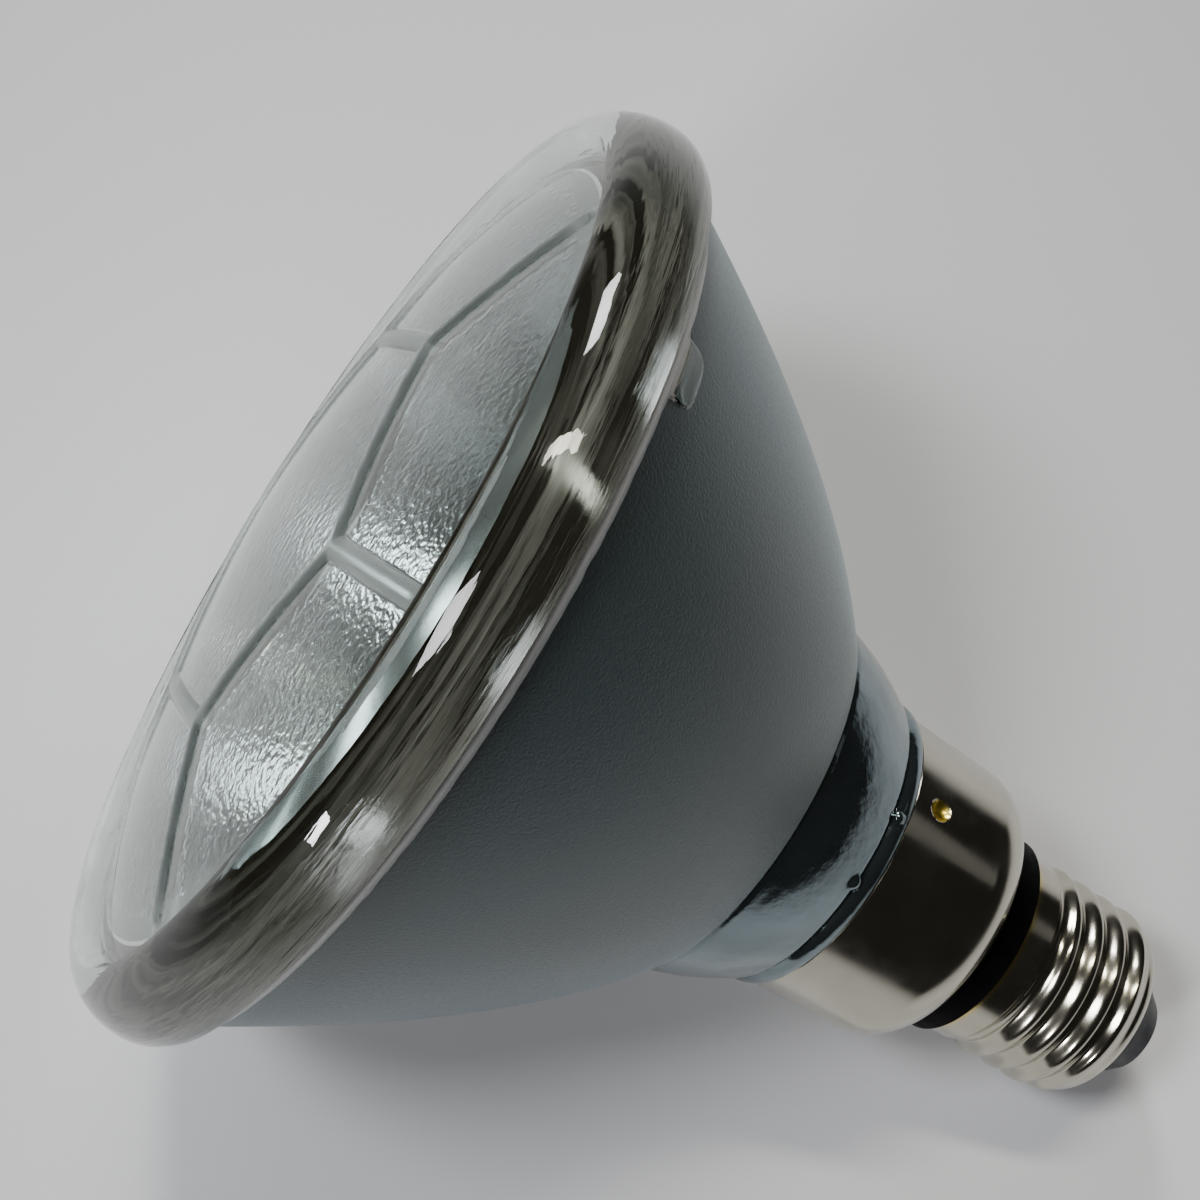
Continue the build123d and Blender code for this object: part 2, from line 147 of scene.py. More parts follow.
def turned_piece(name, rows, angles, finishes, strips=None, closed=True):
    """A mesh object in lamp millimetres. strips gives each strip of faces its place in finishes."""
    count = len(angles)
    places = []
    for radius, level in rows:
        radius = np.broadcast_to(radius, count)
        level = np.broadcast_to(level, count)
        places.append(np.column_stack((radius * np.cos(angles), radius * np.sin(angles), level)))
    corners = np.vstack(places)
    here = np.arange(count)
    following = np.roll(here, -1)
    last = len(rows) if closed else len(rows) - 1
    faces = []
    for k in range(last):
        a = k * count
        b = (k + 1) % len(rows) * count
        faces.append(np.column_stack((a + here, b + here, b + following, a + following)))
    mesh = bpy.data.meshes.new(name)
    mesh.from_pydata(corners.tolist(), [], np.vstack(faces).tolist())
    for finish in finishes:
        mesh.materials.append(finish)
    if strips is not None:
        mesh.polygons.foreach_set("material_index", np.repeat(np.array(strips, dtype=np.int32), count))
    piece = bpy.data.objects.new(name, mesh)
    bpy.context.scene.collection.objects.link(piece)
    return piece


def close_skin(piece, crease=40.0):
    """Merge the doubles on the axis, turn every face outwards and shade smooth up to a crease."""
    mesh = piece.data
    work = bmesh.new()
    work.from_mesh(mesh)
    bmesh.ops.remove_doubles(work, verts=work.verts, dist=0.0005)
    bmesh.ops.dissolve_degenerate(work, edges=work.edges, dist=0.0001)
    bmesh.ops.recalc_face_normals(work, faces=work.faces)
    work.to_mesh(mesh)
    work.free()
    mesh.shade_smooth()
    mesh.set_sharp_from_angle(angle=math.radians(crease))


def lay_down(piece, slot_name, *nodes):
    """Take a piece from lamp millimetres to its place in the frame, where it stands for these CAD nodes."""
    piece.data.transform(lamp)
    piece.data.update()
    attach(piece, "root")
    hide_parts(*nodes)
    piece.data.calc_loop_triangles()
    print(piece.name, "has", len(piece.data.loop_triangles), "triangles")


def arc_rows(centre, across, along, start, end, steps):
    """Rows on a round or elliptic arc, from one angle to another in degrees."""
    turns = np.radians(np.linspace(start, end, steps))
    return [(centre[0] + across * math.cos(t), centre[1] + along * math.sin(t)) for t in turns]


def line_rows(start, end, steps):
    """Rows on a straight line, with its first point and without its last."""
    across = end[0] - start[0]
    along = end[1] - start[1]
    return [(start[0] + across * k / steps, start[1] + along * k / steps) for k in range(steps)]


# %% [markdown]
# ## Helpers for finishes
# A finish is one Principled shader with a few textures behind it. The textures read the piece's Object
# coordinates, turned back to lamp millimetres by a Mapping node, so a grain of half a millimetre is written
# as half a millimetre. The mesh can also carry notes, and a texture can be kept to the part with a note.


# %% Start a finish and set its values
def new_finish(name):
    """A material with its node tree, its shader and the place on the lamp in millimetres."""
    material = bpy.data.materials.new(name)
    material.use_nodes = True
    tree = material.node_tree
    shader = tree.nodes["Principled BSDF"]
    coordinates = tree.nodes.new("ShaderNodeTexCoord")
    place = tree.nodes.new("ShaderNodeMapping")
    place.vector_type = "TEXTURE"
    place.inputs["Location"].default_value = tip
    place.inputs["Rotation"].default_value = lamp_turn.to_euler()
    place.inputs["Scale"].default_value = (MM, MM, MM)
    tree.links.new(coordinates.outputs["Object"], place.inputs["Vector"])
    print("finish", name)
    return material, tree, shader, place.outputs["Vector"]


def give(tree, socket, value):
    """Give a socket its value: a number, a colour or the output of another node."""
    if hasattr(value, "is_output"):
        tree.links.new(value, socket)
    elif value is not None:
        socket.default_value = value


def set_inputs(tree, node, **values):
    """Give a node's inputs their values by name."""
    for name, value in values.items():
        give(tree, node.inputs[name.replace("_", " ")], value)


def noted(tree, name):
    """How much of a note the mesh carries at a place."""
    node = tree.nodes.new("ShaderNodeAttribute")
    node.attribute_name = name
    return node.outputs["Fac"]


# %% Sums on numbers and places
def math_node(tree, operation, first, second=None, third=None):
    """A Math node in a shader or a geometry tree. Each input is a socket or a number."""
    node = tree.nodes.new("ShaderNodeMath")
    node.operation = operation
    for socket, value in zip(node.inputs, (first, second, third)):
        give(tree, socket, value)
    return node.outputs[0]


def split_place(tree, place):
    """The x, y and z of a place."""
    split = tree.nodes.new("ShaderNodeSeparateXYZ")
    tree.links.new(place, split.inputs[0])
    return split.outputs


def long_side(tree, first, second):
    """The long side of a right triangle, from its two short sides."""
    squares = [math_node(tree, "MULTIPLY", side, side) for side in (first, second)]
    return math_node(tree, "SQRT", math_node(tree, "ADD", *squares))


def ramp(tree, value, low, high, out_low=0.0, out_high=1.0):
    """A smooth step from one value to another."""
    node = tree.nodes.new("ShaderNodeMapRange")
    node.interpolation_type = "SMOOTHSTEP"
    set_inputs(tree, node, Value=value, From_Min=low, From_Max=high, To_Min=out_low, To_Max=out_high)
    return node.outputs["Result"]


# %% Textures
def noise(tree, place, size, detail=3.0, stretch=(1, 1, 1)):
    """Noise with grains of about this size in millimetres."""
    if stretch != (1, 1, 1):
        mapping = tree.nodes.new("ShaderNodeMapping")
        set_inputs(tree, mapping, Vector=place, Scale=stretch)
        place = mapping.outputs["Vector"]
    node = tree.nodes.new("ShaderNodeTexNoise")
    set_inputs(tree, node, Vector=place, Scale=1 / size, Detail=detail)
    return node.outputs["Fac"]


def streaks(tree, place, size, length):
    """Noise drawn out round the axis: grains of a size across and of a length along the turn."""
    x, y, level = split_place(tree, place)
    drawn = tree.nodes.new("ShaderNodeCombineXYZ")
    for value, socket in zip((x, y), drawn.inputs):
        give(tree, socket, math_node(tree, "MULTIPLY", value, size / length))
    give(tree, drawn.inputs["Z"], math_node(tree, "ADD", long_side(tree, x, y), level))
    return noise(tree, drawn.outputs[0], size, detail=4.0)


def add_bump(tree, shader, height, depth, strength=1.0):
    """Bump of a depth in millimetres."""
    node = tree.nodes.new("ShaderNodeBump")
    set_inputs(tree, node, Height=height, Strength=strength, Distance=depth * MM)
    tree.links.new(node.outputs["Normal"], shader.inputs["Normal"])


# %% Colours and clear glass
# Nearly all values of a noise texture lie between these
usual_noise = (0.3, 0.7)


def mix_colours(tree, share, first, second):
    """A colour between two colours, each a socket or a value."""
    node = tree.nodes.new("ShaderNodeMix")
    node.data_type = "RGBA"
    tree.links.new(share, node.inputs["Factor"])
    # Sockets 6 and 7 of this node are the two colours, and output 2 is the mix of them
    for socket, value in ((node.inputs[6], first), (node.inputs[7], second)):
        give(tree, socket, value if hasattr(value, "is_output") else (*value, 1))
    return node.outputs[2]


def two_tones(tree, shader, share, first, second, smooth, rough):
    """A colour and a roughness that change together along a texture."""
    set_inputs(tree, shader, Base_Color=mix_colours(tree, share, first, second))
    set_inputs(tree, shader, Roughness=ramp(tree, share, *usual_noise, smooth, rough))


def let_lamps_through(tree, shader):
    """Light from the lamps passes straight through clear glass, so that what is behind it is lit."""
    output = tree.nodes["Material Output"]
    path = tree.nodes.new("ShaderNodeLightPath")
    clear = tree.nodes.new("ShaderNodeBsdfTransparent")
    mix = tree.nodes.new("ShaderNodeMixShader")
    tree.links.new(path.outputs["Is Shadow Ray"], mix.inputs["Fac"])
    tree.links.new(shader.outputs[0], mix.inputs[1])
    tree.links.new(clear.outputs[0], mix.inputs[2])
    tree.links.new(mix.outputs[0], output.inputs["Surface"])


# %% [markdown]
# ## Finish of the lens
# The lens is clear pressed glass. Its outside is smooth, and the ribs on it are a little hazy. Its inside has
# a fine stipple between the ribs, with a plain hazy margin before the rim. The sparks in the photograph are
# the room's lamps, seen in the mirror through that stipple. Dents of that size would take hundreds of
# thousands of faces, so they are bump. Notes on the mesh keep each texture to its place: `inner_skin`,
# `between_ribs` and `on_rib`. Long shallow ripples round the rim break up what is seen through it.

# %% Clear stippled glass
stipple_edge = 47.5
stipple_blur = 0.4
stipple_wobble = 1.2
stipple_size = 0.9
stipple_depth = 0.12
margin_haze = 0.25
rib_haze = 0.32
polish = 0.02
inside_clearness = 0.95
rim_zone = (54.0, 55.5)
ripple_depth = 0.25
lens_glass, tree, shader, place = new_finish("clear_stippled_glass")
inner_skin, between_ribs, on_rib = [noted(tree, name) for name in ("inner_skin", "between_ribs", "on_rib")]
radius = long_side(tree, *split_place(tree, place)[:2])
wobble = math_node(tree, "MULTIPLY_ADD", noise(tree, place, 1.6), 2 * stipple_wobble, -stipple_wobble)
wavy_radius = math_node(tree, "ADD", radius, wobble)
inside_edge = ramp(tree, wavy_radius, stipple_edge - stipple_blur, stipple_edge + stipple_blur, 1, 0)
stippled = math_node(tree, "MULTIPLY", inside_edge, between_ribs)
margin = math_node(tree, "MULTIPLY", ramp(tree, inside_edge, 0, 1, margin_haze, 0), inner_skin)
soft_rib = math_node(tree, "MULTIPLY_ADD", on_rib, rib_haze, polish)
set_inputs(tree, shader, Base_Color=(0.61, 0.68, 0.67, 1), IOR=1.5)
set_inputs(tree, shader, Roughness=math_node(tree, "ADD", margin, soft_rib))
set_inputs(tree, shader, Transmission_Weight=ramp(tree, inner_skin, 0, 1, 1, inside_clearness))
grains = math_node(tree, "MULTIPLY", noise(tree, place, stipple_size, detail=1.0), stipple_depth)
in_rim = ramp(tree, radius, *rim_zone, 0, ripple_depth)
ripples = math_node(tree, "MULTIPLY", streaks(tree, place, 2.4, 40.0), in_rim)
add_bump(tree, shader, math_node(tree, "MULTIPLY_ADD", grains, stippled, ripples), 1.0)
let_lamps_through(tree, shader)

# %% [markdown]
# ## Finishes of the reflector
# The bowl is glass with a satin outside over a silver coat, so it mirrors the room only as a soft blur. Clear
# glass with a coat behind it would be truer and far slower, so one opaque shader stands for both: a dark
# base, a rough reflection with a fine grain, and a little bluish sheen towards the edges. The neck was left
# glossy and shows the coat like a dark mirror, wavy from the mould. The inside is the mirror itself.

# %% Satin bowl, glossy neck and mirror
bowl_glass, tree, shader, place = new_finish("satin_bowl_glass")
set_inputs(tree, shader, IOR=1.5, Specular_IOR_Level=0.9)
set_inputs(tree, shader, Sheen_Weight=0.3, Sheen_Roughness=0.4, Sheen_Tint=(0.72, 0.90, 1.0, 1))
patches = noise(tree, place, 22.0, detail=4.0)
grain = noise(tree, place, 0.35, detail=2.0)
bowl_colour = mix_colours(tree, patches, (0.020, 0.037, 0.040), (0.032, 0.053, 0.058))
set_inputs(tree, shader, Base_Color=bowl_colour, Roughness=ramp(tree, grain, 0.2, 0.8, 0.30, 0.42))
add_bump(tree, shader, grain, 0.06, strength=0.8)

neck_glass, tree, shader, place = new_finish("glossy_neck_glass")
set_inputs(tree, shader, Metallic=0.95)
patches = noise(tree, place, 6.0, detail=4.0)
two_tones(tree, shader, patches, (0.15, 0.19, 0.205), (0.25, 0.30, 0.325), 0.05, 0.12)
add_bump(tree, shader, noise(tree, place, 3.0), 0.25, strength=0.5)

mirror_coat, tree, shader, place = new_finish("silver_mirror_coat")
set_inputs(tree, shader, Metallic=1.0, Base_Color=(0.62, 0.65, 0.65, 1))
set_inputs(tree, shader, Roughness=ramp(tree, noise(tree, place, 9.0), *usual_noise, 0.02, 0.05))

# %% [markdown]
# ## Finishes of the adhesive and the cement
# The adhesive is whitish in the bead at the rim and clear in the drop that ran down the bowl. Behind the
# glass of the rim the inner wall of the lens is painted dark, with pale streaks all the way round: partly the
# bond, and partly painted shade for the dark room seen through the rim. It is never seen from outside the
# glass, so it is a finish on the back of the lens rather than a piece of its own. The cement at the other end
# of the bowl is dark and dull.

# %% Adhesive and cement
adhesive, tree, shader, place = new_finish("set_adhesive")
set_inputs(tree, shader, Specular_IOR_Level=0.5)
cloud = streaks(tree, place, 0.9, 8.0)
two_tones(tree, shader, cloud, (0.46, 0.46, 0.45), (0.72, 0.73, 0.73), 0.25, 0.45)
add_bump(tree, shader, noise(tree, place, 1.2), 0.08, strength=0.3)

# The dark colour of this finish is partly the bond and partly painted shade for the dark room seen through
# the rim of the lens.
bond_with_painted_shade, tree, shader, place = new_finish("bond_with_painted_shade")
lines = streaks(tree, place, 0.35, 60.0)
pale_lines = ramp(tree, lines, 0.40, 0.75)
bond_and_painted_shade_colour = mix_colours(tree, pale_lines, (0.010, 0.009, 0.006), (0.12, 0.115, 0.10))
set_inputs(tree, shader, Base_Color=bond_and_painted_shade_colour, Roughness=ramp(tree, lines, *usual_noise, 0.04, 0.16))
add_bump(tree, shader, lines, 0.12, strength=0.5)

clear_drip, tree, shader, place = new_finish("clear_adhesive")
set_inputs(tree, shader, Base_Color=(0.90, 0.93, 0.92, 1), IOR=1.45, Transmission_Weight=1.0)
set_inputs(tree, shader, Roughness=ramp(tree, noise(tree, place, 1.5), *usual_noise, 0.02, 0.08))
let_lamps_through(tree, shader)

cement, tree, shader, place = new_finish("dark_cement")
cloud = noise(tree, place, 1.2, detail=4.0)
two_tones(tree, shader, cloud, (0.01, 0.01, 0.011), (0.04, 0.038, 0.036), 0.4, 0.7)

# %% [markdown]
# ## Finishes of the metal
# The cap is brass sheet with a thin nickel plate, handled and a little smudged. Where the plate is cracked or
# cut, the brass shows, and a note on the mesh says where. The eyelet at the tip is bare brass, and the two
# joints are solder. Turning marks are far finer than a face, so they are a stretched noise in the bump.

# %% Nickel plate, brass and solder
nickel, tree, shader, place = new_finish("nickel_plate")
turning = noise(tree, place, 1.0, detail=3.0, stretch=(0.08, 0.08, 2.2))
smudge = noise(tree, place, 5.0, detail=5.0)
bare = noted(tree, "bare_brass")
dull = math_node(tree, "MULTIPLY", bare, 0.12)
plate = mix_colours(tree, smudge, (0.45, 0.42, 0.34), (0.60, 0.575, 0.50))
plate_roughness = ramp(tree, smudge, *usual_noise, 0.11, 0.19)
set_inputs(tree, shader, Metallic=1.0, Base_Color=mix_colours(tree, bare, plate, (0.80, 0.62, 0.10)))
set_inputs(tree, shader, Roughness=math_node(tree, "ADD", plate_roughness, dull))
add_bump(tree, shader, turning, 0.02, strength=0.2)

brass, tree, shader, place = new_finish("bare_brass")
set_inputs(tree, shader, Metallic=1.0)
stain = noise(tree, place, 1.5, detail=4.0)
two_tones(tree, shader, stain, (0.50, 0.36, 0.13), (0.76, 0.60, 0.28), 0.22, 0.42)

solder, tree, shader, place = new_finish("set_solder")
set_inputs(tree, shader, Metallic=1.0)
stain = noise(tree, place, 0.8, detail=4.0)
two_tones(tree, shader, stain, (0.42, 0.42, 0.43), (0.66, 0.66, 0.67), 0.25, 0.5)

# %% [markdown]
# ## Finishes of the insulators, the capsule and the wires
# The ring in the cap is a black moulding that hardly shines, and the button at the tip is dark bluish glass.
# Both are nearly black in the photograph, so a weak reflection matters more than the colour. Inside, the
# capsule is clear quartz and the wires are drawn metal. They are seen only dimly through the lens.

# %% Black ring, dark glass, quartz and wire
black_ring, tree, shader, place = new_finish("black_moulding")
set_inputs(tree, shader, Specular_IOR_Level=0.05)
cloud = noise(tree, place, 2.0, detail=4.0)
two_tones(tree, shader, cloud, (0.001, 0.001, 0.001), (0.003, 0.003, 0.004), 0.5, 0.7)

dark_glass, tree, shader, place = new_finish("dark_glass_button")
set_inputs(tree, shader, Specular_IOR_Level=0.1)
cloud = noise(tree, place, 3.0, detail=4.0)
two_tones(tree, shader, cloud, (0.0015, 0.002, 0.006), (0.004, 0.006, 0.014), 0.3, 0.45)

quartz, tree, shader, place = new_finish("clear_quartz")
set_inputs(tree, shader, Base_Color=(0.97, 0.98, 0.99, 1), IOR=1.46, Transmission_Weight=1.0)
set_inputs(tree, shader, Roughness=ramp(tree, noise(tree, place, 3.0), *usual_noise, 0.0, 0.05))
let_lamps_through(tree, shader)

wire, tree, shader, place = new_finish("drawn_wire")
set_inputs(tree, shader, Metallic=1.0)
drawn = noise(tree, place, 0.6, detail=3.0)
two_tones(tree, shader, drawn, (0.38, 0.36, 0.34), (0.58, 0.56, 0.53), 0.25, 0.45)

# %% [markdown]
# ## Lens
# The dome carries a raised hexagon with a spoke from each corner. A fine even grid could carry them too, at
# the cost of many faces. Here the grid of the dome follows them: its rings start as hexagons and end as
# circles, and its columns crowd together at the spokes, so that few faces give crisp ribs.

# %% Sizes of the lens
dome_radius = 169.0
dome_centre = overall_length - dome_radius
rim_radius = lens_reach[1]
dome_edge_radius = rim_radius - 7.4
lens_thickness = 3.2
lens_inner_radius = rim_radius - 10.5
roll_front = 7.8
roll_width = 6.2
roll_start_angle = 80.0
roll_back = 5.3
seal_reach = reach("rim_seal")
seam_level = seal_reach[3]
bond_inner_radius = seal_reach[0]
rib_count = 6
hexagon_radius = 28.0
spoke_end_radius = rim_radius - 9.5
rib_width = 3.0
rib_height = 0.6
half_rib = rib_width / 2
sector = 2 * math.pi / rib_count
print("lens: radius", round(rim_radius, 2), "mm, crown at", round(overall_length, 2), "mm")

# %% Columns of the lens
spoke_crowd = np.radians([0.0, 0.4, 0.8, 1.2, 1.6, 2.0, 2.4, 2.8, 3.2, 3.8, 4.8])
half_sector = np.concatenate((spoke_crowd, np.linspace(math.radians(6.4), sector / 2, 13)))
one_sector = np.concatenate((half_sector, sector - half_sector[-2:0:-1]))
lens_angles = np.concatenate([k * sector + one_sector for k in range(rib_count)])
from_side = np.abs(np.mod(lens_angles, sector) - sector / 2)
side_distance = hexagon_radius * math.cos(sector / 2)
hexagon = side_distance / np.cos(from_side)
print("lens grid:", len(lens_angles), "columns")


# %% Rows of the lens, from the crown over the rim to the inside
def dome_row(radius, crown=overall_length, ball=dome_radius):
    """A row on a dome, from the level of its crown and the radius of its ball."""
    return radius, crown - ball + np.sqrt(ball**2 - np.square(radius))


rib_crowd = side_distance + np.linspace(-1.2 * half_rib, 1.2 * half_rib, 15)
inner_rings = np.linspace(0, rib_crowd[0], 16)[:-1]
rows = [dome_row(hexagon * ring / side_distance) for ring in np.concatenate((inner_rings, rib_crowd))]
widest_ring = hexagon * rib_crowd[-1] / side_distance
outer_shares = np.linspace(0, 1, 34)[1:]
rows += [dome_row(widest_ring + (dome_edge_radius - widest_ring) * share) for share in outer_shares]
dome_end = len(rows)
nose = arc_rows((rim_radius - roll_width, rim_level), roll_width, roll_front, roll_start_angle, 0, 34)
rows += line_rows((dome_edge_radius, dome_row(dome_edge_radius)[1]), nose[0], 6)[1:] + nose
back_angle = -math.degrees(math.asin((rim_level - seam_level) / roll_back))
rows += arc_rows((rim_radius - roll_back, rim_level), roll_back, roll_back, 0, back_angle, 14)[1:]
bond_start = len(rows) - 1
rows += line_rows(rows[-1], (bond_inner_radius, seam_level), 6)[1:]
bond_end = len(rows)
inner_crown = overall_length - lens_thickness
inner_ball = dome_radius - lens_thickness
inner_edge = dome_row(lens_inner_radius, inner_crown, inner_ball)
rows += line_rows((bond_inner_radius, seam_level), inner_edge, 8)
wall_end = len(rows) - 1
rows += [dome_row(ring, inner_crown, inner_ball) for ring in np.linspace(lens_inner_radius, 0, 72)]
lens = turned_piece("lens_glass", rows, lens_angles, [lens_glass], closed=False)
print("lens grid:", len(rows), "rows")

# %% Note which rows are which
lens_marks = {"flat_back": (bond_start, bond_end), "inner_wall": (bond_end, wall_end)}
strips = np.arange(len(rows) - 1)
for mark, (first, last) in lens_marks.items():
    marked = lens.data.attributes.new(mark, "BOOLEAN", "FACE")
    marked.data.foreach_set("value", np.repeat((strips >= first) & (strips < last), len(lens_angles)))
row_numbers = np.arange(len(rows))
lens_skins = {"outer_skin": row_numbers < dome_end, "inner_skin": row_numbers >= wall_end}
for skin_name, on_skin in lens_skins.items():
    skin_note = lens.data.attributes.new(skin_name, "FLOAT", "POINT")
    skin_note.data.foreach_set("value", np.repeat(on_skin, len(lens_angles)).astype(np.float32))
print("lens notes:", *lens_marks, *lens_skins)

# %% [markdown]
# ## Helpers for rules
# Ribs, threads and coils follow a plain rule, so Geometry Nodes make them: a tree has a named input for each
# size, and the same tree would make them for another lamp. The result is kept as a plain mesh.


# %% Start, end and apply a rule
def new_rule(name, sizes):
    """A Geometry Nodes tree with one geometry input and one named input for each size."""
    rule = bpy.data.node_groups.new(name, "GeometryNodeTree")
    rule.interface.new_socket("Geometry", in_out="INPUT", socket_type="NodeSocketGeometry")
    for size in sizes:
        rule.interface.new_socket(size, in_out="INPUT", socket_type="NodeSocketFloat")
    rule.interface.new_socket("Geometry", in_out="OUTPUT", socket_type="NodeSocketGeometry")
    given = rule.nodes.new("NodeGroupInput")
    result = rule.nodes.new("NodeGroupOutput")
    return rule, given.outputs, result.inputs["Geometry"]


def read_note(rule, name, kind="FLOAT"):
    """A note that the mesh carries."""
    note = rule.nodes.new("GeometryNodeInputNamedAttribute")
    note.data_type = kind
    note.inputs["Name"].default_value = name
    return note.outputs["Attribute"]


def end_rule(rule, geometry, result, finish, marked_finishes=()):
    """Every tree ends with real geometry and its finish. Faces with a mark get a finish of their own."""
    realize = rule.nodes.new("GeometryNodeRealizeInstances")
    rule.links.new(geometry, realize.inputs["Geometry"])
    geometry = realize.outputs["Geometry"]
    for mark, paint_finish in ((None, finish), *marked_finishes):
        paint = rule.nodes.new("GeometryNodeSetMaterial")
        set_inputs(rule, paint, Geometry=geometry, Material=paint_finish)
        geometry = paint.outputs["Geometry"]
        if mark is not None:
            rule.links.new(read_note(rule, mark, "BOOLEAN"), paint.inputs["Selection"])
    rule.links.new(geometry, result)


def apply_rule(piece, rule, sizes):
    """Run a tree on a piece with these sizes, and keep the result as its plain mesh."""
    modifier = piece.modifiers.new(rule.name, "NODES")
    modifier.node_group = rule
    for item in rule.interface.items_tree:
        if item.in_out == "INPUT" and item.name in sizes:
            modifier[item.identifier] = sizes[item.name]
    view = bpy.context.evaluated_depsgraph_get()
    finished = piece.evaluated_get(view)
    made = bpy.data.meshes.new_from_object(finished, preserve_all_data_layers=True, depsgraph=view)
    piece.modifiers.remove(modifier)
    piece.data = made
    print(rule.name, "made", len(made.polygons), "faces")


# %% Move points in a rule
def vector_node(rule, operation, first, second=None, scale=None):
    """A Vector Math node. Each input is a socket or a value."""
    node = rule.nodes.new("ShaderNodeVectorMath")
    node.operation = operation
    for key, value in ((0, first), (1, second), ("Scale", scale)):
        if value is not None:
            give(rule, node.inputs[key], value)
    return node.outputs[0]


def push_out(rule, geometry, away, distance):
    """Move every point along its own direction away from something, by its own distance."""
    offset = vector_node(rule, "SCALE", vector_node(rule, "NORMALIZE", away), scale=distance)
    move = rule.nodes.new("GeometryNodeSetPosition")
    set_inputs(rule, move, Geometry=geometry, Offset=offset)
    return move.outputs["Geometry"]


# %% [markdown]
# ## Ribs
# The ribs were pressed with the lens, so they are part of its skin. The tree folds every point into one sixth
# of the circle, next to one spoke. There, a spoke is a straight line along the first direction and a hexagon
# side is a straight line across, so the distance to each is one subtraction. The lift of the outer skin is
# the height of a shallow bow over that distance. The tree also leaves two notes for the finish: on the inside
# where the glass isn't under a rib, and on the outside where it is one.

# %% Distance to the nearest rib
rib_sizes = {
    "Hexagon Radius": hexagon_radius,
    "Spoke End": spoke_end_radius - half_rib,
    "Half Width": half_rib,
    "Rib Height": rib_height,
    "Bow Radius": (half_rib**2 + rib_height**2) / (2 * rib_height),
    "Dome Centre": dome_centre,
}
rule, given, result = new_rule("lift_ribs", rib_sizes)
position = rule.nodes.new("GeometryNodeInputPosition").outputs[0]
x, y = split_place(rule, position)[:2]
radius = long_side(rule, x, y)
angle = math_node(rule, "ARCTAN2", y, x)
folded = math_node(rule, "FLOORED_MODULO", math_node(rule, "ADD", angle, sector / 2), sector)
from_spoke = math_node(rule, "ABSOLUTE", math_node(rule, "SUBTRACT", folded, sector / 2))
along = math_node(rule, "MULTIPLY", radius, math_node(rule, "COSINE", from_spoke))
across = math_node(rule, "MULTIPLY", radius, math_node(rule, "SINE", from_spoke))
to_side_normal = math_node(rule, "COSINE", math_node(rule, "SUBTRACT", sector / 2, from_spoke))
towards_side = math_node(rule, "MULTIPLY", radius, to_side_normal)
side_level = math_node(rule, "MULTIPLY", given["Hexagon Radius"], math.cos(sector / 2))
to_side = math_node(rule, "ABSOLUTE", math_node(rule, "SUBTRACT", towards_side, side_level))
past_end = math_node(rule, "MAXIMUM", math_node(rule, "SUBTRACT", along, given["Spoke End"]), 0.0)
before_start = math_node(rule, "MAXIMUM", math_node(rule, "SUBTRACT", given["Hexagon Radius"], along), 0.0)
to_spoke = long_side(rule, across, math_node(rule, "MAXIMUM", past_end, before_start))
to_line = math_node(rule, "MINIMUM", to_side, to_spoke)
print("rule", rule.name, "has inputs", *rib_sizes)

# %% Lift the ribs
rib_edge = 0.05
on_outside, on_inside = [read_note(rule, skin_name) for skin_name in lens_skins]
to_rib = math_node(rule, "MINIMUM", to_line, given["Half Width"])
rib_square = math_node(rule, "MULTIPLY", to_rib, to_rib)
bow_square = math_node(rule, "MULTIPLY", given["Bow Radius"], given["Bow Radius"])
bow = math_node(rule, "SQRT", math_node(rule, "SUBTRACT", bow_square, rib_square))
bow_foot = math_node(rule, "SUBTRACT", given["Bow Radius"], given["Rib Height"])
lift = math_node(rule, "MULTIPLY", math_node(rule, "SUBTRACT", bow, bow_foot), on_outside)
centre = rule.nodes.new("ShaderNodeCombineXYZ")
rule.links.new(given["Dome Centre"], centre.inputs["Z"])
from_centre = vector_node(rule, "SUBTRACT", position, centre.outputs[0])
geometry = push_out(rule, given["Geometry"], from_centre, lift)
flat = math_node(rule, "GREATER_THAN", to_line, half_rib)
raised = math_node(rule, "LESS_THAN", to_line, half_rib - rib_edge)
for note_name, share, side in (("between_ribs", flat, on_inside), ("on_rib", raised, on_outside)):
    note = rule.nodes.new("GeometryNodeStoreNamedAttribute")
    set_inputs(rule, note, Geometry=geometry, Name=note_name, Value=math_node(rule, "MULTIPLY", share, side))
    geometry = note.outputs["Geometry"]
back_finishes = (("flat_back", adhesive), ("inner_wall", bond_with_painted_shade))
end_rule(rule, geometry, result, lens_glass, back_finishes)
apply_rule(lens, rule, rib_sizes)
close_skin(lens)
lay_down(lens, "lens_glass", "lens")

# %% [markdown]
# ## Bowl
# The reflector is one pressing: a paraboloid, a neck below a sharp groove, and a bead at the end of the neck.
# Its outside is satin down to the groove and glossy below it, and its inside is the mirror. So it is one
# turned skin with three finishes. Two small runs of glass stand on the bead. They are lifted out of the rows
# with the height of a ball over the distance from its centre.

# %% Sizes of the bowl
bowl_reach = reach("reflector")
skirt_reach = reach("skirt")
lip_level = bowl_reach[3]
bowl_edge_radius = bowl_reach[1]
skirt_top = skirt_reach[3]
skirt_radius = skirt_reach[1]
skirt_wall = 0.45
neck_radius = 25.55
neck_bead_width = 2.0
neck_bead_step = 0.6
neck_groove_depth = 0.7
neck_swell = 0.5
neck_groove_width = 1.0
neck_bead_bottom = skirt_top + 0.3
neck_bead_top = neck_bead_bottom + neck_bead_width
neck_end = neck_bead_top + neck_bead_step
neck_top = neck_end + 12.3
neck_end_radius = skirt_radius + 1.0
bead_foot = neck_end_radius - neck_bead_step
stub_radius = skirt_radius - skirt_wall - 0.85
stub_end = bowl_reach[2]
stub_bore_radius = 12.0
floor_back = stub_end + 2.0
well_floor = floor_back + 5.0
well_radius = 14.0
well_top = well_floor + 11.8
mouth_radius = rim_radius - 8.0
